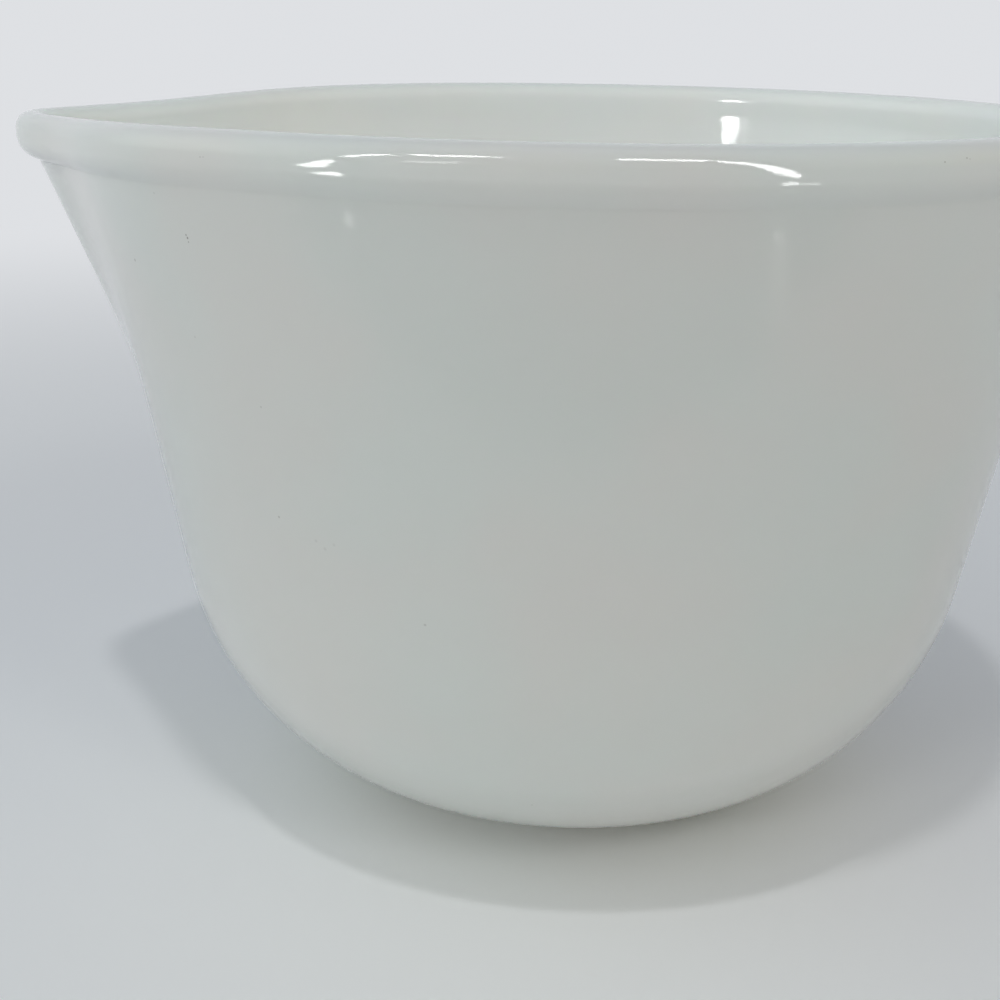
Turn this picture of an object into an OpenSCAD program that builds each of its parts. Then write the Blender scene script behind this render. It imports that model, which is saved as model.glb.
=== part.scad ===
// A batter bowl pressed in one piece of opal glass: a deep bowl with a rounded rim band and a pouring spout.
// Sizes are millimetres. The origin is on the bowl's axis at the table, +Z is up and the spout points to -X.

/* [Body] */
// Height from the table to the top of the rim
height = 118.5; // [105:0.5:135]
// Thickness of the wall and of the floor
wall_t = 4.8; // [3.6:0.1:6]
// Lean of the upper wall from vertical, in degrees
taper = 10; // [7:0.5:12]
// Outer radius of the curve under the upper wall
side_r = 50.5; // [44:0.5:56]
// Lean where the side curve meets the bottom curve, in degrees
side_turn = 51; // [46:0.5:56]
// Outer radius of the bottom curve
bottom_r = 39.5; // [34:0.5:44]

/* [Rim] */
// Outside diameter of the rim band, without the spout
rim_d = 165; // [158:1:180]
// Thickness of the rounded rim
rim_t = 5.8; // [5:0.1:7]
// Height of the band round the rim
band_h = 8.2; // [7:0.1:11]
// How far the band stands proud of the wall under it
band_step = 1.2; // [0.8:0.1:2]
// Rounding of the band's lower edge
band_edge_r = 4; // [2.5:0.1:4]
// Softness of the crease where the band meets the wall
band_crease = 0.8; // [0.4:0.1:1.5]

/* [Spout] */
// How far the lip reaches past the rim
spout_out = 14.5; // [11:0.5:18]
// How far the lip overhangs the spout's front edge
lip_over = 3.6; // [2:0.1:5]
// Angle between each flank of the spout and its middle line, in degrees
flank = 52; // [46:1:56]
// Radius of the nose, seen from above
nose_r = 9; // [7:0.5:11]
// Radius of the pouring channel's nose, seen from above
channel_r = 7; // [5:0.5:9]
// Thickness of the glass at the nose
nose_t = 5.2; // [4.5:0.1:6]
// How far the spout runs down the wall under the band
spout_drop = 52; // [40:1:60]
// Softness of the hollow where a flank meets the wall
flank_blend = 6; // [3:0.5:9]
// How far the nose dips below the rest of the rim
nose_dip = 2.5; // [0:0.1:3.5]

/* [Foot] */
// Outside diameter of the foot
foot_d = 66; // [60:1:72]
// Height of the foot under the bottom curve
foot_h = 1.8; // [1.4:0.1:3]
// Width of the ring that the bowl stands on
foot_ring_w = 4.5; // [3:0.1:7]
// Depth of the recess inside the ring
recess_h = 1.2; // [0.8:0.1:1.4]
// Rounding of the foot's edge
foot_edge_r = 0.6; // [0.3:0.1:0.8]

/* [Hidden] */

// Columns round the bowl, and how much closer they stand at the spout than the average
columns = 96;
crowding_share = 0.6;
// Steps along each stretch of the profile
bottom_steps = 4;
side_steps = 7;
wall_steps = 7;
edge_steps = 4;
bead_steps = 8;
lip_steps = 3;
foot_steps = 2;
// Width of the cove between the foot and the bottom curve
cove_w = 1.5;
// Overrun of a cut past the face that it opens
overrun = 1;

rim_r = rim_d / 2;
foot_r = foot_d / 2;
bead_r = rim_t / 2;
band_z = height - band_h;
wall_top_r = rim_r - band_step;

// The outer profile from the band down: a straight lean, the side curve and the bottom curve, all tangent
side_h = side_r * (sin(side_turn) - sin(taper));
bottom_h = bottom_r * (1 - sin(side_turn));
straight_h = band_z - foot_h - side_h - bottom_h;
side_top_z = foot_h + bottom_h + side_h;
side_top_r = wall_top_r - straight_h * tan(taper);
side_axis_r = side_top_r - side_r * cos(taper);
side_axis_z = side_top_z + side_r * sin(taper);
flat_r = side_axis_r + (side_r - bottom_r) * cos(side_turn);
bottom_axis_z = foot_h + bottom_r;

// The bottom curve starts outside the foot's cove
cove_r = max(flat_r, foot_r + cove_w);
cove_lean = acos((cove_r - flat_r) / bottom_r);

function upper_r(z) = side_top_r + (z - side_top_z) * tan(taper);
function step_list(count) = [for (i = [1:count]) i / count];

// Rings of the outside, each as its radius and height on the round part of the bowl
bottom_rings = [for (s = concat([0], step_list(bottom_steps)))
    let (lean = cove_lean + (side_turn - cove_lean) * s)
    [flat_r + bottom_r * cos(lean), bottom_axis_z - bottom_r * sin(lean)]];
side_rings = [for (s = step_list(side_steps))
    let (lean = side_turn + (taper - side_turn) * s)
    [side_axis_r + side_r * cos(lean), side_axis_z - side_r * sin(lean)]];
wall_rings = [for (s = step_list(wall_steps))
    let (z = side_top_z + straight_h * s)
    [upper_r(z), z]];

// Rings of the inside, which follow the same curves one wall thickness in
inner_wall_rings = [for (s = step_list(wall_steps))
    let (z = band_z - straight_h * s)
    [upper_r(z) - wall_t / cos(taper), z]];
inner_side_rings = [for (s = step_list(side_steps))
    let (lean = taper + (side_turn - taper) * s)
    [side_axis_r + (side_r - wall_t) * cos(lean), side_axis_z - (side_r - wall_t) * sin(lean)]];
inner_bottom_rings = [for (s = step_list(bottom_steps + 1))
    let (lean = side_turn + (90 - side_turn) * s)
    [flat_r + (bottom_r - wall_t) * cos(lean), bottom_axis_z - (bottom_r - wall_t) * sin(lean)]];

// Angle of a column from the spout's middle line
function column_turn(i) = 360 * i / columns - crowding_share * sin(360 * i / columns) * 180 / PI;
turns = [for (i = [0:columns - 1]) column_turn(i)];
function away(turn) = min(turn, 360 - turn);

// The larger of two radii, with the corner between them rounded over a width
function soft_max(a, b, width) =
    let (h = max(width - abs(a - b), 0) / width)
    max(a, b) + h * h * width / 4;

// Radius of the spout's plan at an angle: two straight flanks that meet in a rounded nose at the reach.
// Past the point where a flank runs square to the radius, the plan turns inward and ends inside the bowl.
function nose_ease(reach, nose) = 180 / PI / tan(flank) / (reach / nose - 1);
function spout_plan(turn, reach, nose) =
    let (ease = nose_ease(reach, nose),
        lean = flank + sqrt(away(turn) ^ 2 + ease ^ 2),
        square_r = reach * sin(flank + ease))
    lean < 90 ? square_r / sin(lean) : square_r * sin(min(lean, 180));
function plan(turn, round_r, reach, nose, blend) =
    soft_max(round_r, spout_plan(turn, reach, nose), blend);

// How far the spout's front edge stands out of the wall at a height: nothing at the end of its drop
wall_out = spout_out + band_step - lip_over;
function stand_out(z) = wall_out * (1 - (band_z - z) / spout_drop);
function outer_r(turn, r, z) = plan(turn, r, r + stand_out(z), nose_r, flank_blend);
function inner_r(turn, r, z) = let (wall_gap = wall_t / cos(taper))
    plan(turn, r, r + wall_gap + stand_out(z) - nose_t, channel_r, flank_blend);

// The rim's own outer and inner edges
function rim_outer_r(turn) = plan(turn, rim_r, rim_r + spout_out, nose_r, flank_blend);
function rim_inner_r(turn) = plan(turn, rim_r - rim_t, rim_r + spout_out - rim_t, channel_r, flank_blend);

// The nose dips a little, and the dip fades down the spout and away from it
function dip(turn, z) = nose_dip * exp(-(away(turn) / flank) ^ 2 * 2) * max(0, 1 - (height - z) / spout_drop);
function place(turn, r, z) = [-r * cos(turn), -r * sin(turn), z - dip(turn, z)];

function ring(r, z) = [for (turn = turns) place(turn, r, z)];
function outer_ring(r, z) = [for (turn = turns) place(turn, outer_r(turn, r, z), z)];
function inner_ring(r, z) = [for (turn = turns) place(turn, inner_r(turn, r, z), z)];

// A ring of the band: its edge drawn in by a depth, or the wall behind it where that stands further out
function band_ring(depth, z) = [for (turn = turns)
    let (outer = rim_outer_r(turn), thin_share = (outer - rim_inner_r(turn)) / rim_t)
    place(turn, soft_max(outer - depth * thin_share, outer_r(turn, upper_r(z), z), band_crease), z)];

// A ring of the rounded top, which crosses from the outer to the inner edge as the angle goes from 0 to 180
function bead_ring(angle) = [for (turn = turns)
    let (outer = rim_outer_r(turn), across = (1 - cos(angle)) / 2)
    place(turn, outer + (rim_inner_r(turn) - outer) * across, height - bead_r + bead_r * sin(angle))];

// A ring between the rounded top's inner edge and the inner wall
function lip_ring(share) = [for (turn = turns)
    let (z = height - bead_r - (band_h - bead_r) * share,
        ease = share * share * (3 - 2 * share),
        top = rim_inner_r(turn),
        wall = inner_r(turn, upper_r(band_z) - wall_t / cos(taper), band_z))
    place(turn, top + (wall - top) * ease, z)];

rings = concat(
    [for (s = concat([0], step_list(foot_steps)))
        ring(foot_r - foot_edge_r + foot_edge_r * sin(90 * s), foot_edge_r - foot_edge_r * cos(90 * s))],
    [for (p = concat(bottom_rings, side_rings, wall_rings)) outer_ring(p[0], p[1])],
    [for (s = step_list(edge_steps))
        band_ring(band_edge_r * (1 - sin(90 * s)), band_z + band_edge_r * (1 - cos(90 * s)))],
    [for (i = [0:bead_steps]) bead_ring(180 * i / bead_steps)],
    [for (i = [1:lip_steps - 1]) lip_ring(i / lip_steps)],
    [for (p = concat([[upper_r(band_z) - wall_t / cos(taper), band_z]], inner_wall_rings, inner_side_rings,
        inner_bottom_rings)) inner_ring(p[0], p[1])]);
last = len(rings) - 1;
under_point = [0, 0, 0];
floor_point = [0, 0, foot_h + wall_t];

// The closed shell: from the middle of the underside up the outside, over the rim and down to the floor
module glass_shell() {
    corner = function (row, i) 1 + row * columns + i % columns;
    polyhedron(
        points = concat([under_point], [for (r = rings, p = r) p], [floor_point]),
        faces = concat(
            [for (i = [0:columns - 1]) [0, corner(0, i), corner(0, i + 1)]],
            [for (row = [0:last - 1], i = [0:columns - 1])
                each [[corner(row, i), corner(row + 1, i), corner(row + 1, i + 1)],
                    [corner(row, i), corner(row + 1, i + 1), corner(row, i + 1)]]],
            [for (i = [0:columns - 1]) [1 + (last + 1) * columns, corner(last, i + 1), corner(last, i)]]));
}

// The shallow recess that leaves the bowl standing on a ring
module base_recess() {
    recess_r = foot_r - foot_ring_w;
    translate([0, 0, -overrun])
        cylinder(h = overrun + recess_h, r1 = recess_r + overrun, r2 = recess_r - recess_h);
}

module glass_bowl() {
    color([0.92, 0.94, 0.93])
        difference() {
            glass_shell();
            base_recess();
        }
}

glass_bowl();
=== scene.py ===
import math

import bpy
import numpy as np
from mathutils import Matrix, Vector
from mathutils.interpolate import poly_3d_calc


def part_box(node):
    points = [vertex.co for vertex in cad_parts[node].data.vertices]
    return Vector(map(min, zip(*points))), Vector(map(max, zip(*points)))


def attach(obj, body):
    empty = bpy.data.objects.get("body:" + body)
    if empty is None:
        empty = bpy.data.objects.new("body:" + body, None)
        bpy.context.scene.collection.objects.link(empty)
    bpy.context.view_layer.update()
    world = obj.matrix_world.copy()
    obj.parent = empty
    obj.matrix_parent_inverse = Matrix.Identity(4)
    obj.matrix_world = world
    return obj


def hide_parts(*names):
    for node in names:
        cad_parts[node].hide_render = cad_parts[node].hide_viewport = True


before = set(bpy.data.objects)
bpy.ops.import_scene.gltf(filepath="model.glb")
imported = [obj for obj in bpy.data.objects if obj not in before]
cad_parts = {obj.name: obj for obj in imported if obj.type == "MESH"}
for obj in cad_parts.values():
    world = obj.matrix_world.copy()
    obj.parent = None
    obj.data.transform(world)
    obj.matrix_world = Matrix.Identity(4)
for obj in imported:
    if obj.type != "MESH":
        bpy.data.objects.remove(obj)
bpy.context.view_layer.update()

bowl_lo, bowl_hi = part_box("glass_bowl")

MM = 0.001

# Sizes of the glass in millimetres and radians, as the bowl was built
HEIGHT = bowl_hi.z / MM
RIM_R = 82.5
SPOUT_OUT = -bowl_lo.x / MM - RIM_R
WALL_T = 4.8
TAPER = math.radians(10)
SIDE_R = 50.5
SIDE_TURN = math.radians(51)
BOTTOM_R = 39.5
RIM_T = 5.8
BAND_H = 8.2
BAND_STEP = 1.2
BAND_EDGE_R = 4
BAND_CREASE = 0.8
LIP_OVER = 3.6
FLANK = math.radians(52)
NOSE_R = 9
CHANNEL_R = 7
NOSE_T = 5.2
SPOUT_DROP = 52
FLANK_BLEND = 6
NOSE_DIP = 2.5
FOOT_R = 33
FOOT_H = 1.8
FOOT_RING_W = 4.5
RECESS_H = 1.2
FOOT_EDGE_R = 0.6
COVE_W = 1.5

# Columns round the bowl, and how much closer they stand at the spout than the average
COLUMNS = 448
CROWDING_SHARE = 0.6
# Steps along each stretch of the profile, from the bottom up the outside, over the rim and down the inside
BOTTOM_STEPS = 16
SIDE_STEPS = 24
WALL_STEPS = 30
BAND_STEPS = 14
BEAD_STEPS = 28
LIP_STEPS = 12
INNER_WALL_STEPS = 24
INNER_SIDE_STEPS = 20
INNER_BOTTOM_STEPS = 16
# Rings across the flat floor and across the recess, as shares of its radius
FLOOR_SHARES = (0.75, 0.5, 0.25, 0.08)
RECESS_SHARES = (0.3, 0.6, 0.8)
# Radius of the underside's innermost ring
CENTRE_R = 1
# The most of a stretch that a rounded corner takes up, and the steps round it
CORNER_SHARE = 0.45
CORNER_STEPS = 4

BEAD_R = RIM_T / 2
BAND_Z = HEIGHT - BAND_H
WALL_TOP_R = RIM_R - BAND_STEP
SIDE_H = SIDE_R * (math.sin(SIDE_TURN) - math.sin(TAPER))
BOTTOM_H = BOTTOM_R * (1 - math.sin(SIDE_TURN))
STRAIGHT_H = BAND_Z - FOOT_H - SIDE_H - BOTTOM_H
SIDE_TOP_Z = FOOT_H + BOTTOM_H + SIDE_H
SIDE_TOP_R = WALL_TOP_R - STRAIGHT_H * math.tan(TAPER)
SIDE_AXIS_R = SIDE_TOP_R - SIDE_R * math.cos(TAPER)
SIDE_AXIS_Z = SIDE_TOP_Z + SIDE_R * math.sin(TAPER)
FLAT_R = SIDE_AXIS_R + (SIDE_R - BOTTOM_R) * math.cos(SIDE_TURN)
BOTTOM_AXIS_Z = FOOT_H + BOTTOM_R
COVE_R = max(FLAT_R, FOOT_R + COVE_W)
COVE_LEAN = math.acos((COVE_R - FLAT_R) / BOTTOM_R)
WALL_GAP = WALL_T / math.cos(TAPER)
WALL_OUT = SPOUT_OUT + BAND_STEP - LIP_OVER

steady = 2 * math.pi * np.arange(COLUMNS) / COLUMNS
TURNS = steady - CROWDING_SHARE * np.sin(steady)
AWAY = np.minimum(TURNS, 2 * math.pi - TURNS)

# The camera, fitted to the bowl's outlines: its place in millimetres, and its angles in degrees
CAMERA_BACK = 253.6
CAMERA_UP = 13.9
CAMERA_YAW = -2.91
CAMERA_PITCH = -18.46
CAMERA_ROLL = 0.85
FOCAL_PX = 1450
FRAME_PX = 1000
SENSOR_MM = 36
# How near and how far the camera sees, in metres
CAMERA_NEAR = 0.01
CAMERA_FAR = 50


def soft_max(a, b, width):
    """The larger of two radii, with the corner between them rounded over a width."""
    near = np.maximum(width - np.abs(a - b), 0) / width
    return np.maximum(a, b) + near * near * width / 4


def spout_plan(reach, nose):
    """Radius of two straight flanks that meet in a rounded nose at the reach, seen from above."""
    ease = 1 / math.tan(FLANK) / (reach / nose - 1)
    lean = FLANK + np.sqrt(AWAY ** 2 + ease ** 2)
    square_r = reach * math.sin(FLANK + ease)
    turned_in = square_r * np.sin(np.minimum(lean, math.pi))
    return np.where(lean < math.pi / 2, square_r / np.sin(lean), turned_in)


def plan(round_r, reach, nose, blend):
    """Radius of the round bowl and the spout together, for every column."""
    return soft_max(round_r, spout_plan(reach, nose), blend)


def stand_out(z):
    """How far the spout's front edge stands out of the wall at a height: nothing at the end of its drop."""
    return WALL_OUT * (1 - (BAND_Z - z) / SPOUT_DROP)


def outer_r(r, z):
    """Radius of the outside at a height where the round wall has the given one."""
    return plan(r, r + stand_out(z), NOSE_R, FLANK_BLEND)


def inner_r(r, z):
    """Radius of the inside at a height where the round wall's inside has the given one."""
    return plan(r, r + WALL_GAP + stand_out(z) - NOSE_T, CHANNEL_R, FLANK_BLEND)


def upper_r(z):
    """Radius of the straight upper wall at a height."""
    return SIDE_TOP_R + (z - SIDE_TOP_Z) * math.tan(TAPER)


RIM_OUTER = plan(RIM_R, RIM_R + SPOUT_OUT, NOSE_R, FLANK_BLEND)
RIM_INNER = plan(RIM_R - RIM_T, RIM_R + SPOUT_OUT - RIM_T, CHANNEL_R, FLANK_BLEND)


def place(r, z):
    """A ring of points at a radius for every column and one height, with the nose dipped."""
    dip = NOSE_DIP * np.exp(-2 * (AWAY / FLANK) ** 2) * max(0, 1 - (HEIGHT - z) / SPOUT_DROP)
    r = np.broadcast_to(r, TURNS.shape)
    return np.stack([-r * np.cos(TURNS), -r * np.sin(TURNS), z - dip], axis=1)


def shares(count):
    """Even steps up to one, without zero."""
    return [i / count for i in range(1, count + 1)]


def rounded(points, radius):
    """A line through the points with every inner corner rounded."""
    points = [np.array(p, float) for p in points]
    line = [points[0]]
    for before, corner, after in zip(points, points[1:], points[2:]):
        back, on = before - corner, after - corner
        start = corner + back * min(radius / np.linalg.norm(back), CORNER_SHARE)
        end = corner + on * min(radius / np.linalg.norm(on), CORNER_SHARE)
        for t in [0, *shares(CORNER_STEPS)]:
            line.append((1 - t) ** 2 * start + 2 * t * (1 - t) * corner + t * t * end)
    return line + [points[-1]]


def foot_rings():
    """The underside, from the middle of the recess out over the ring and up into the bottom curve."""
    recess_r = FOOT_R - FOOT_RING_W
    cove_z = BOTTOM_AXIS_Z - BOTTOM_R * math.sin(COVE_LEAN)
    line = rounded([(CENTRE_R, RECESS_H), (recess_r - RECESS_H, RECESS_H), (recess_r, 0), (FOOT_R, 0),
                    (FOOT_R, cove_z), (COVE_R, cove_z)], FOOT_EDGE_R)
    extra = [(recess_r * s, RECESS_H) for s in RECESS_SHARES]
    return [place(r, z) for r, z in [line[0], *extra, *line[1:-1]]]


def outside_rings():
    """The outside below the band: the bottom curve, the side curve and the straight upper wall."""
    rings = []
    for s in [0, *shares(BOTTOM_STEPS)]:
        lean = COVE_LEAN + (SIDE_TURN - COVE_LEAN) * s
        z = BOTTOM_AXIS_Z - BOTTOM_R * math.sin(lean)
        rings.append(place(outer_r(FLAT_R + BOTTOM_R * math.cos(lean), z), z))
    for s in shares(SIDE_STEPS):
        lean = SIDE_TURN + (TAPER - SIDE_TURN) * s
        z = SIDE_AXIS_Z - SIDE_R * math.sin(lean)
        rings.append(place(outer_r(SIDE_AXIS_R + SIDE_R * math.cos(lean), z), z))
    for s in shares(WALL_STEPS):
        z = SIDE_TOP_Z + STRAIGHT_H * s
        rings.append(place(outer_r(upper_r(z), z), z))
    return rings


def band_rings():
    """The band's rounded lower edge and face, the bead over the top, and the lip that eases into the wall."""
    rings = []
    thin = (RIM_OUTER - RIM_INNER) / RIM_T
    for s in shares(BAND_STEPS):
        depth = BAND_EDGE_R * (1 - math.sin(math.pi / 2 * s))
        z = BAND_Z + BAND_EDGE_R * (1 - math.cos(math.pi / 2 * s))
        rings.append(place(soft_max(RIM_OUTER - depth * thin, outer_r(upper_r(z), z), BAND_CREASE), z))
    for s in [0, *shares(BEAD_STEPS)]:
        across = (1 - math.cos(math.pi * s)) / 2
        r = RIM_OUTER + (RIM_INNER - RIM_OUTER) * across
        rings.append(place(r, HEIGHT - BEAD_R + BEAD_R * math.sin(math.pi * s)))
    wall = inner_r(upper_r(BAND_Z) - WALL_GAP, BAND_Z)
    lip_h = BAND_H - BEAD_R
    for s in shares(LIP_STEPS)[:-1]:
        upright = RIM_INNER + (wall - RIM_INNER) * s * s * (3 - 2 * s)
        leaning = lip_h * math.tan(TAPER) * s * s * (1 - s)
        rings.append(place(upright + leaning, HEIGHT - BEAD_R - lip_h * s))
    return rings


def inside_rings():
    """The inside below the lip, down to the middle of the floor."""
    rings = []
    for s in [0, *shares(INNER_WALL_STEPS)]:
        z = BAND_Z - STRAIGHT_H * s
        rings.append(place(inner_r(upper_r(z) - WALL_GAP, z), z))
    for s in shares(INNER_SIDE_STEPS):
        lean = TAPER + (SIDE_TURN - TAPER) * s
        z = SIDE_AXIS_Z - (SIDE_R - WALL_T) * math.sin(lean)
        rings.append(place(inner_r(SIDE_AXIS_R + (SIDE_R - WALL_T) * math.cos(lean), z), z))
    for s in shares(INNER_BOTTOM_STEPS):
        lean = SIDE_TURN + (math.pi / 2 - SIDE_TURN) * s
        z = BOTTOM_AXIS_Z - (BOTTOM_R - WALL_T) * math.sin(lean)
        rings.append(place(inner_r(FLAT_R + (BOTTOM_R - WALL_T) * math.cos(lean), z), z))
    floor_z = FOOT_H + WALL_T
    return rings + [place(FLAT_R * s, floor_z) for s in FLOOR_SHARES]


def shell_faces(ring_count):
    """The faces between the rings, and a fan to the point at each end."""
    columns = range(COLUMNS)
    faces = [(0, 1 + (i + 1) % COLUMNS, 1 + i) for i in columns]
    for row in range(ring_count - 1):
        low, high = 1 + row * COLUMNS, 1 + (row + 1) * COLUMNS
        for i in columns:
            j = (i + 1) % COLUMNS
            faces.append((low + i, low + j, high + j, high + i))
    last = 1 + (ring_count - 1) * COLUMNS
    end_point = last + COLUMNS
    return faces + [(end_point, last + i, last + (i + 1) % COLUMNS) for i in columns]


def new_object(name, data):
    """An object in the scene that holds the data."""
    made = bpy.data.objects.new(name, data)
    bpy.context.scene.collection.objects.link(made)
    return made


def make_bowl():
    """The whole bowl as one closed mesh, finer than the solid that it stands for."""
    band = band_rings()
    outside = foot_rings() + outside_rings() + band[:BAND_STEPS]
    over = band[BAND_STEPS:]
    inner = inside_rings()
    rings = outside + over + inner
    points = np.concatenate([[[0, 0, RECESS_H]], *rings, [[0, 0, FOOT_H + WALL_T]]]) * MM
    mesh = bpy.data.meshes.new("glass_bowl_fine")
    mesh.from_pydata(points.tolist(), [], shell_faces(len(rings)))
    mesh.shade_smooth()
    mesh.update()
    # How far each point has come over the rim from the outside to the inside, from 0 to 1: the glass paints
    # shade outside and light inside by it
    crossing = [min(i / BEAD_STEPS, 1) for i in range(len(over))]
    by_ring = [0] * len(outside) + crossing + [1] * len(inner)
    by_point = np.concatenate([[0], np.repeat(by_ring, COLUMNS), [1]])
    inside = mesh.attributes.new("inside", "FLOAT", "POINT")
    inside.data.foreach_set("value", by_point.astype(np.float32))
    return new_object("glass_bowl_fine", mesh)


def camera_turn():
    """The camera's axes as the columns of a matrix: right, up and back."""
    yaw, pitch, roll = (math.radians(a) for a in (CAMERA_YAW, CAMERA_PITCH, CAMERA_ROLL))
    ahead = Vector((math.sin(yaw) * math.cos(pitch), math.cos(yaw) * math.cos(pitch), math.sin(pitch)))
    level = Vector((math.cos(yaw), -math.sin(yaw), 0))
    above = level.cross(ahead)
    right = math.cos(roll) * level + math.sin(roll) * above
    up = math.cos(roll) * above - math.sin(roll) * level
    return Matrix((right, up, -ahead)).transposed()


def camera_place():
    return Vector((0, -CAMERA_BACK, HEIGHT + CAMERA_UP)) * MM


def make_camera():
    data = bpy.data.cameras.new("camera")
    data.sensor_width = SENSOR_MM
    data.lens = SENSOR_MM * FOCAL_PX / FRAME_PX
    data.clip_start = CAMERA_NEAR
    data.clip_end = CAMERA_FAR
    camera = new_object("camera", data)
    camera.matrix_world = Matrix.Translation(camera_place()) @ camera_turn().to_4x4()
    bpy.context.scene.camera = camera


# The colour sockets of a mix node
MIX_A, MIX_B, MIX_RESULT = 6, 7, 2


def node(tree, kind, **settings):
    """A new shader node with some of its settings."""
    made = tree.nodes.new(kind)
    for name, value in settings.items():
        setattr(made, name, value)
    return made


def new_material(name):
    """A new material, its node tree, and the call that links two sockets of it."""
    material = bpy.data.materials.new(name)
    material.use_nodes = True
    return material, material.node_tree, material.node_tree.links.new


def eased(tree, value, start, end, low, high):
    """A value that goes smoothly from low to high as the input goes from start to end."""
    made = node(tree, "ShaderNodeMapRange", interpolation_type="SMOOTHSTEP")
    for name, number in (("From Min", start), ("From Max", end), ("To Min", low), ("To Max", high)):
        made.inputs[name].default_value = number
    tree.links.new(value, made.inputs["Value"])
    return made.outputs["Result"]


def worked_out(tree, operation, a, b):
    """Two values added, multiplied or the like."""
    made = node(tree, "ShaderNodeMath", operation=operation)
    tree.links.new(a, made.inputs[0])
    tree.links.new(b, made.inputs[1])
    return made.outputs[0]


def times(tree, a, b):
    return worked_out(tree, "MULTIPLY", a, b)


def plus(tree, a, b):
    return worked_out(tree, "ADD", a, b)


def scaled(tree, value, factor, shift=0):
    """A value times a factor, and moved up by a number."""
    made = node(tree, "ShaderNodeMath", operation="MULTIPLY_ADD")
    made.inputs[1].default_value = factor
    made.inputs[2].default_value = shift
    tree.links.new(value, made.inputs[0])
    return made.outputs[0]


# The glass: its own colour outside darkened with painted shade and inside lightened with painted light, the
# two ends of its slight unevenness of tint, and its specks
GLASS_OUTSIDE_SHADED = (0.72, 0.735, 0.727, 1)
GLASS_INSIDE_LIT = (0.92, 0.95, 0.925, 1)
GLASS_COOL = (0.975, 1, 0.99, 1)
GLASS_WARM = (1, 0.985, 0.975, 1)
SPECK = (0.2, 0.19, 0.18, 1)
# Patches of tint and of gloss in a metre, and the part of the noise over which they change
TINT_PER_M = 28
GLOSS_PER_M = 60
NOISE_START, NOISE_END = 0.3, 0.7
ROUGHNESS_LOW, ROUGHNESS_HIGH = 0.04, 0.08
# Where on the way over the rim the outside's painted shade starts to give way to the inside's painted light,
# and where it is all the inside's
SHADE_TO_LIGHT_START, SHADE_TO_LIGHT_END = 0.35, 0.95
# How the glass bends light, and how far light goes into it, in metres and as a share for each colour
GLASS_IOR = 1.5
GLASS_DEPTH = 0.003
GLASS_DEPTH_SHARES = (1, 1.05, 1)
# Height in metres and number in a metre of the pressed surface's slow waves and of its fine grain
WAVE_HEIGHT, WAVE_PER_M = 0.000005, 150
GRAIN_HEIGHT, GRAIN_PER_M = 0.0000024, 3500
# The dark core of a speck, as a share of its radius
SPECK_CORE_SHARE = 0.3
# Small dark specks in the glass: pixel x and y, radius in millimetres and depth
SPECKS = [
    (186, 235, 0.2, 0.75), (187.5, 238, 0.24, 0.85), (188.5, 242, 0.18, 0.6), (135, 260, 0.3, 0.6),
    (154, 193, 0.2, 0.25), (200, 157, 0.14, 0.4), (203, 157, 0.14, 0.35), (195, 337, 0.2, 0.3),
    (261, 407, 0.2, 0.35), (279, 517, 0.25, 0.4), (316, 541, 0.35, 0.12), (325, 549, 0.4, 0.12),
    (334, 545, 0.35, 0.1), (425, 625, 0.28, 0.3), (532, 805, 0.25, 0.25), (945, 162, 0.16, 0.55),
    (967, 158, 0.16, 0.55), (970, 159, 0.12, 0.4),
]


def mixed(tree, factor, first, second):
    """A colour between two given ones."""
    made = node(tree, "ShaderNodeMix", data_type="RGBA")
    tree.links.new(factor, made.inputs["Factor"])
    made.inputs[MIX_A].default_value = first
    made.inputs[MIX_B].default_value = second
    return made.outputs[MIX_RESULT]


# The room's light: what comes from all round, and soft lobes by azimuth, elevation, tightness and colour
ROOM_LEVEL = (0.175, 0.2, 0.3)
ROOM_LIGHTS = [
    (0, 12, 5, (0.61, 0.53, 0.31)),
    (-90, 12, 4, (0.84, 0.91, 0.74)),
    (90, 12, 4, (0.45, 0.42, 0.19)),
]
# Reflections, but not the light on the glass, find the room darker in front: how much, where, and the cosines
# of the angles from there at which it starts and is full
FRONT_DARK_SHARE = 0.85
FRONT_DARK_WAY = (0, 40)
FRONT_DARK_START, FRONT_DARK_FULL = 0.55, 0.9
# The lamps: azimuth and elevation in degrees, diameter in metres, power in watts and colour
LAMPS = {
    "lamp_left": (-30, 24, 0.3, 1.6, (1, 1, 1)),
    "lamp_right": (40, 37, 0.3, 1.15, (1, 1, 0.98)),
    "lamp_top": (-8, 72.4, 0.09, 3, (0.98, 0.98, 1)),
}
BACKDROP_LEVEL = 1
BACKDROP = (0.735, 0.75, 0.775, 1)
# Reflections find the backdrop behind: where, and the cosines of the angles from there at which it starts
# and is whole
BACKDROP_WAY = (180, 0)
BACKDROP_START, BACKDROP_FULL = 0.4, 0.8
FLOOR = (0.91, 0.92, 0.92, 1)
FLOOR_ROUGHNESS = 0.6
# Half the floor's width, and how far out it starts to fade into the backdrop and is gone, in metres
FLOOR_HALF = 6
FADE_START, FADE_END = 0.15, 0.75
# In front of the picture's lower edge, light and reflections meet a floor darkened with painted shade, which
# the camera doesn't see
FRONT_PAINTED_SHADE = (0.45, 0.45, 0.45, 1)
FRONT_SHADE_START = -0.17
FRONT_SHADE_END = -0.2


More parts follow.
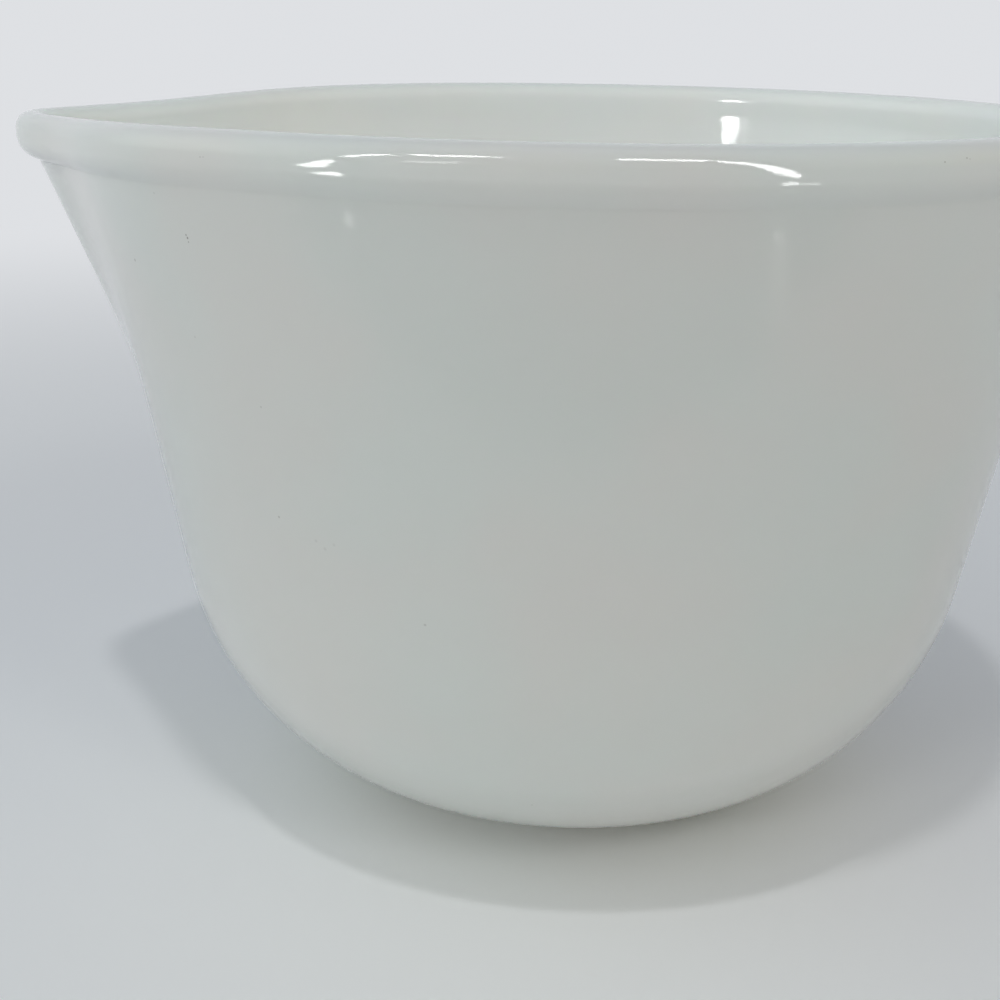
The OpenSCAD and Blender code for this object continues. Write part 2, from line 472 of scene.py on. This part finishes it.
def floor_material():
    """A matt pale floor that fades into the backdrop far from the bowl, with painted shade in front that only
    light and reflections meet.
    """
    material, tree, link = new_material("floor")
    place_of = node(tree, "ShaderNodeTexCoord")
    parts = node(tree, "ShaderNodeSeparateXYZ")
    link(place_of.outputs["Object"], parts.inputs[0])
    # Painted shade on the floor in front, which light and reflections meet but the camera doesn't
    in_front = eased(tree, parts.outputs["Y"], FRONT_SHADE_END, FRONT_SHADE_START, 1, 0)
    unseen = scaled(tree, node(tree, "ShaderNodeLightPath").outputs["Is Camera Ray"], -1, 1)
    shader = tree.nodes["Principled BSDF"]
    shader.inputs["Roughness"].default_value = FLOOR_ROUGHNESS
    link(mixed(tree, times(tree, in_front, unseen), FLOOR, FRONT_PAINTED_SHADE), shader.inputs["Base Color"])
    length = node(tree, "ShaderNodeVectorMath", operation="LENGTH")
    link(place_of.outputs["Object"], length.inputs[0])
    far = eased(tree, length.outputs["Value"], FADE_START, FADE_END, 0, 1)
    glow = node(tree, "ShaderNodeEmission")
    glow.inputs["Color"].default_value = BACKDROP
    both = node(tree, "ShaderNodeMixShader")
    link(far, both.inputs["Fac"])
    link(shader.outputs[0], both.inputs[1])
    link(glow.outputs[0], both.inputs[2])
    link(both.outputs[0], tree.nodes["Material Output"].inputs["Surface"])
    return material


def make_floor():
    corners = [(-1, -1), (1, -1), (1, 1), (-1, 1)]
    mesh = bpy.data.meshes.new("floor")
    mesh.from_pydata([(FLOOR_HALF * x, FLOOR_HALF * y, 0) for x, y in corners], [], [(0, 1, 2, 3)])
    mesh.materials.append(floor_material())
    new_object("floor", mesh)


def direction(azimuth, elevation):
    """A direction as seen from the bowl: azimuth 0 is in front, positive to the right, in degrees."""
    a, e = math.radians(azimuth), math.radians(elevation)
    return Vector((math.sin(a) * math.cos(e), -math.cos(a) * math.cos(e), math.sin(e)))


# The middle of the rim, and how far from it the lamps stand, in metres
LAMP_AWAY = 1.5
RIM_CENTRE = Vector((0, 0, HEIGHT * MM))


def make_lamp(name, azimuth, elevation, size, power, colour):
    """A round lamp that shines at the middle of the rim and shows only by its light."""
    data = bpy.data.lights.new(name, "AREA")
    data.shape = "DISK"
    data.size = size
    data.energy = power
    data.color = colour
    lamp = new_object(name, data)
    way = direction(azimuth, elevation)
    lamp.location = RIM_CENTRE + LAMP_AWAY * way
    lamp.rotation_euler = way.to_track_quat("Z", "Y").to_euler()
    lamp.visible_glossy = False
    lamp.visible_camera = False


def seen_through(x, y):
    """The direction from the camera through a pixel of the photograph."""
    centre = FRAME_PX / 2
    return (camera_turn() @ Vector((x - centre, centre - y, -FOCAL_PX))).normalized()


def hit_bowl(bowl, x, y):
    """The point of the bowl at a pixel, and the smooth normal there."""
    hit, point, _, index = bowl.ray_cast(camera_place(), seen_through(x, y))
    if not hit:
        raise ValueError(f"no glass at pixel {x}, {y}")
    corners = [bowl.data.vertices[i] for i in bowl.data.polygons[index].vertices]
    weights = poly_3d_calc([c.co for c in corners], point)
    normal = sum((w * c.normal for w, c in zip(weights, corners)), Vector())
    return point, normal.normalized()


def cloud(tree, place_of, per_m, detail=2):
    """Soft noise over the surface, from 0 to 1."""
    made = node(tree, "ShaderNodeTexNoise")
    made.inputs["Scale"].default_value = per_m
    made.inputs["Detail"].default_value = detail
    tree.links.new(place_of, made.inputs["Vector"])
    return made.outputs["Fac"]


def speck_share(tree, place_of, bowl):
    """How dark the specks are at a point: nothing nearly everywhere."""
    total = None
    for x, y, radius, depth in SPECKS:
        away = node(tree, "ShaderNodeVectorMath", operation="DISTANCE")
        away.inputs[1].default_value = hit_bowl(bowl, x, y)[0]
        tree.links.new(place_of, away.inputs[0])
        edge = radius * MM
        one = eased(tree, away.outputs["Value"], SPECK_CORE_SHARE * edge, edge, depth, 0)
        total = plus(tree, total, one) if total else one
    return total


def opal_glass(bowl):
    """Milk-white glass, painted darker outside and lighter inside as shade and light: light goes a little way
    into it, and its pressed surface isn't quite even.
    """
    material, tree, link = new_material("opal_glass")
    shader = tree.nodes["Principled BSDF"]
    place_of = node(tree, "ShaderNodeTexCoord").outputs["Object"]
    # Painted shade on the outside and painted light on the inside, changing over the rim by the share carried
    # on the mesh
    inside = node(tree, "ShaderNodeAttribute", attribute_name="inside")
    share = eased(tree, inside.outputs["Fac"], SHADE_TO_LIGHT_START, SHADE_TO_LIGHT_END, 0, 1)
    tint = node(tree, "ShaderNodeMix", data_type="RGBA", blend_type="MULTIPLY")
    tint.inputs["Factor"].default_value = 1
    link(mixed(tree, share, GLASS_OUTSIDE_SHADED, GLASS_INSIDE_LIT), tint.inputs[MIX_A])
    patch = eased(tree, cloud(tree, place_of, TINT_PER_M), NOISE_START, NOISE_END, 0, 1)
    link(mixed(tree, patch, GLASS_COOL, GLASS_WARM), tint.inputs[MIX_B])
    specked = node(tree, "ShaderNodeMix", data_type="RGBA")
    link(speck_share(tree, place_of, bowl), specked.inputs["Factor"])
    link(tint.outputs[MIX_RESULT], specked.inputs[MIX_A])
    specked.inputs[MIX_B].default_value = SPECK
    link(specked.outputs[MIX_RESULT], shader.inputs["Base Color"])
    noise = cloud(tree, place_of, GLOSS_PER_M)
    roughness = eased(tree, noise, NOISE_START, NOISE_END, ROUGHNESS_LOW, ROUGHNESS_HIGH)
    link(roughness, shader.inputs["Roughness"])
    uneven = plus(tree, scaled(tree, cloud(tree, place_of, WAVE_PER_M, 0), WAVE_HEIGHT),
                  scaled(tree, cloud(tree, place_of, GRAIN_PER_M, 0), GRAIN_HEIGHT))
    bump = node(tree, "ShaderNodeBump")
    bump.inputs["Strength"].default_value = 1
    bump.inputs["Distance"].default_value = 1
    link(uneven, bump.inputs["Height"])
    link(bump.outputs["Normal"], shader.inputs["Normal"])
    shader.inputs["IOR"].default_value = GLASS_IOR
    shader.inputs["Subsurface Weight"].default_value = 1
    shader.inputs["Subsurface Radius"].default_value = GLASS_DEPTH_SHARES
    shader.inputs["Subsurface Scale"].default_value = GLASS_DEPTH
    return material


# How far a bright panel is from where it is mirrored, high in the room or just over the floor, and how much
# nearer or further it still shows, so that the near band and the far wall don't mirror each other's
HIGH_AWAY = 1.2
LOW_AWAY = 0.2
GLINT_REACH = 0.05
GLINT_FADE = 0.02
# Steps added to each stretch of a panel's strip, so that its edges keep their shape
STRIP_STEPS = 4


def glow_material(name, strength, away):
    """A light that shows only at about the distance that its panel is made for."""
    material, tree, link = new_material(name)
    glow = node(tree, "ShaderNodeEmission")
    glow.inputs["Color"].default_value = (1, 1, 1, 1)
    ray = node(tree, "ShaderNodeLightPath")
    length = ray.outputs["Ray Length"]
    near, far = away - GLINT_REACH, away + GLINT_REACH
    past_near = eased(tree, length, near - GLINT_FADE, near, 0, strength)
    short_of_far = eased(tree, length, far, far + GLINT_FADE, 1, 0)
    link(times(tree, past_near, short_of_far), glow.inputs["Strength"])
    link(glow.outputs[0], tree.nodes["Material Output"].inputs["Surface"])
    return material


def finer(rows):
    """The rows of numbers with even steps added between each two of them."""
    rows = np.array(rows, float)
    places = np.linspace(0, len(rows) - 1, STRIP_STEPS * (len(rows) - 1) + 1)
    return np.array([np.interp(places, range(len(rows)), column) for column in rows.T]).T


def make_glint(bowl, name, away, strength, strip):
    """A bright panel that only reflections show, placed so that the bowl mirrors it along a strip of pixels.

    Each entry of the strip is an x and the y of its points there, from the top down."""
    strip = finer(strip)
    across = finer(strip[:, 1:].T).T
    points = []
    for x, ys in zip(strip[:, 0], across):
        for y in ys:
            point, normal = hit_bowl(bowl, x, y)
            points.append(point + away * seen_through(x, y).reflect(normal))
    rows = across.shape[1]
    faces = [(i * rows + j, i * rows + j + 1, (i + 1) * rows + j + 1, (i + 1) * rows + j)
             for i in range(len(strip) - 1) for j in range(rows - 1)]
    mesh = bpy.data.meshes.new(name)
    mesh.from_pydata([tuple(p) for p in points], [], faces)
    mesh.materials.append(glow_material(name, strength, away))
    panel = new_object(name, mesh)
    panel.visible_camera = False
    panel.visible_diffuse = False
    panel.visible_transmission = False
    panel.visible_volume_scatter = False
    panel.visible_shadow = False


# The bright reflections on the near band and wall and inside the far wall: panel's distance, strength, and
# strip of pixels
GLINTS = {
    "left_wing": (HIGH_AWAY, 15, [(297, 164, 166.5), (306, 162.5, 167.5), (316, 161, 168), (324, 159.6, 167),
                                  (332, 158.2, 162.5), (340, 156.6, 159), (350, 155.4, 157.4),
                                  (370, 153.8, 155.6), (395, 154.2, 155.4)]),
    "left_foot": (LOW_AWAY, 14, [(313, 172, 173.5), (328, 171.5, 175), (342, 174, 177)]),
    "left_line": (HIGH_AWAY, 15, [(411, 154, 155.6), (450, 155, 156.6), (487, 156, 157.4)]),
    "left_line_end": (HIGH_AWAY, 12, [(491, 156.4, 157.6), (503, 157, 158)]),
    "left_second_line": (HIGH_AWAY, 4, [(405, 160.5, 162.5), (459, 161.5, 163.5)]),
    "left_spot": (LOW_AWAY, 7, [(344, 215, 218), (348, 216, 221), (352, 219, 223)]),
    "left_streak": (LOW_AWAY, 0.5, [(337, 224, 300, 380), (345, 222, 300, 430), (353, 226, 300, 380)]),
    "right_line": (HIGH_AWAY, 15, [(618, 158.6, 160.2), (660, 159.1, 160.8), (707, 159.7, 161.3)]),
    "right_wing": (HIGH_AWAY, 15, [(716, 160.8, 162), (745, 162.3, 164.4), (762, 164.2, 168.5),
                                   (778, 166.8, 174), (790, 170, 177), (801, 174.5, 178.5)]),
    "right_foot": (LOW_AWAY, 12, [(783, 182.4, 185.4), (800, 182.6, 185.4)]),
    "right_foot_end": (LOW_AWAY, 5, [(803, 182.8, 185.2), (820, 183, 185)]),
    "right_spot": (LOW_AWAY, 6, [(775, 232, 235), (779, 232, 237), (783, 235, 239)]),
    "right_streak": (LOW_AWAY, 0.75, [(768, 242, 300, 350), (778, 240, 300, 390), (789, 244, 300, 350)]),
    "far_patch": (HIGH_AWAY, 24, [(722.5, 112, 119, 126, 133, 139), (726, 110, 118, 126, 133, 141),
                                  (736, 111, 118, 126, 133, 140), (738, 114, 120, 126, 131, 136)]),
    "far_patch_side": (HIGH_AWAY, 3, [(738, 114, 121, 128, 134, 140), (748, 118, 123, 128, 133, 138)]),
}


def cosine(tree, way, azimuth, elevation):
    """The cosine of the angle between where a ray goes and a direction."""
    near = node(tree, "ShaderNodeVectorMath", operation="DOT_PRODUCT")
    near.inputs[1].default_value = direction(azimuth, elevation)
    tree.links.new(way, near.inputs[0])
    return near.outputs["Value"]


def lobe(tree, way, azimuth, elevation, tightness, colour):
    """A soft light from one direction: full in its middle, fading round it."""
    fall = scaled(tree, cosine(tree, way, azimuth, elevation), tightness, -tightness)
    power = node(tree, "ShaderNodeMath", operation="EXPONENT")
    tree.links.new(fall, power.inputs[0])
    light = node(tree, "ShaderNodeVectorMath", operation="SCALE")
    light.inputs[0].default_value = colour
    tree.links.new(power.outputs[0], light.inputs["Scale"])
    return light.outputs[0]


def room_light(tree, way):
    """The colour of the light that comes from a direction: the room's level and its soft lobes."""
    total = None
    for light in ROOM_LIGHTS:
        both = node(tree, "ShaderNodeVectorMath", operation="ADD")
        both.inputs[0].default_value = ROOM_LEVEL
        if total:
            tree.links.new(total, both.inputs[0])
        tree.links.new(lobe(tree, way, *light), both.inputs[1])
        total = both.outputs[0]
    return total


def make_world():
    """The room's light, and the pale backdrop that the camera and the reflections see behind the bowl."""
    world = bpy.data.worlds.new("studio")
    bpy.context.scene.world = world
    world.use_nodes = True
    tree = world.node_tree
    link = tree.links.new
    way = node(tree, "ShaderNodeTexCoord").outputs["Generated"]
    ray = node(tree, "ShaderNodeLightPath")
    in_front = eased(tree, cosine(tree, way, *FRONT_DARK_WAY), FRONT_DARK_START, FRONT_DARK_FULL, 0, 1)
    dark = times(tree, ray.outputs["Is Glossy Ray"], in_front)
    room = tree.nodes["Background"]
    link(room_light(tree, way), room.inputs["Color"])
    link(scaled(tree, dark, -FRONT_DARK_SHARE, 1), room.inputs["Strength"])
    backdrop = node(tree, "ShaderNodeBackground")
    backdrop.inputs["Color"].default_value = BACKDROP
    backdrop.inputs["Strength"].default_value = BACKDROP_LEVEL
    at_back = eased(tree, cosine(tree, way, *BACKDROP_WAY), BACKDROP_START, BACKDROP_FULL, 0, 1)
    mirrored = times(tree, ray.outputs["Is Glossy Ray"], at_back)
    seen = worked_out(tree, "MAXIMUM", ray.outputs["Is Camera Ray"], mirrored)
    both = node(tree, "ShaderNodeMixShader")
    link(seen, both.inputs["Fac"])
    link(room.outputs[0], both.inputs[1])
    link(backdrop.outputs[0], both.inputs[2])
    link(both.outputs[0], tree.nodes["World Output"].inputs["Surface"])


bpy.context.scene.view_settings.view_transform = "Standard"
make_camera()
make_world()
make_floor()
for name, (azimuth, elevation, size, power, colour) in LAMPS.items():
    make_lamp(name, azimuth, elevation, size, power, colour)

bowl = make_bowl()
bpy.context.view_layer.update()
bowl.data.materials.append(opal_glass(bowl))
for name, (away, strength, strip) in GLINTS.items():
    make_glint(bowl, "glint_" + name, away, strength, strip)
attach(bowl, "root")
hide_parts("glass_bowl")
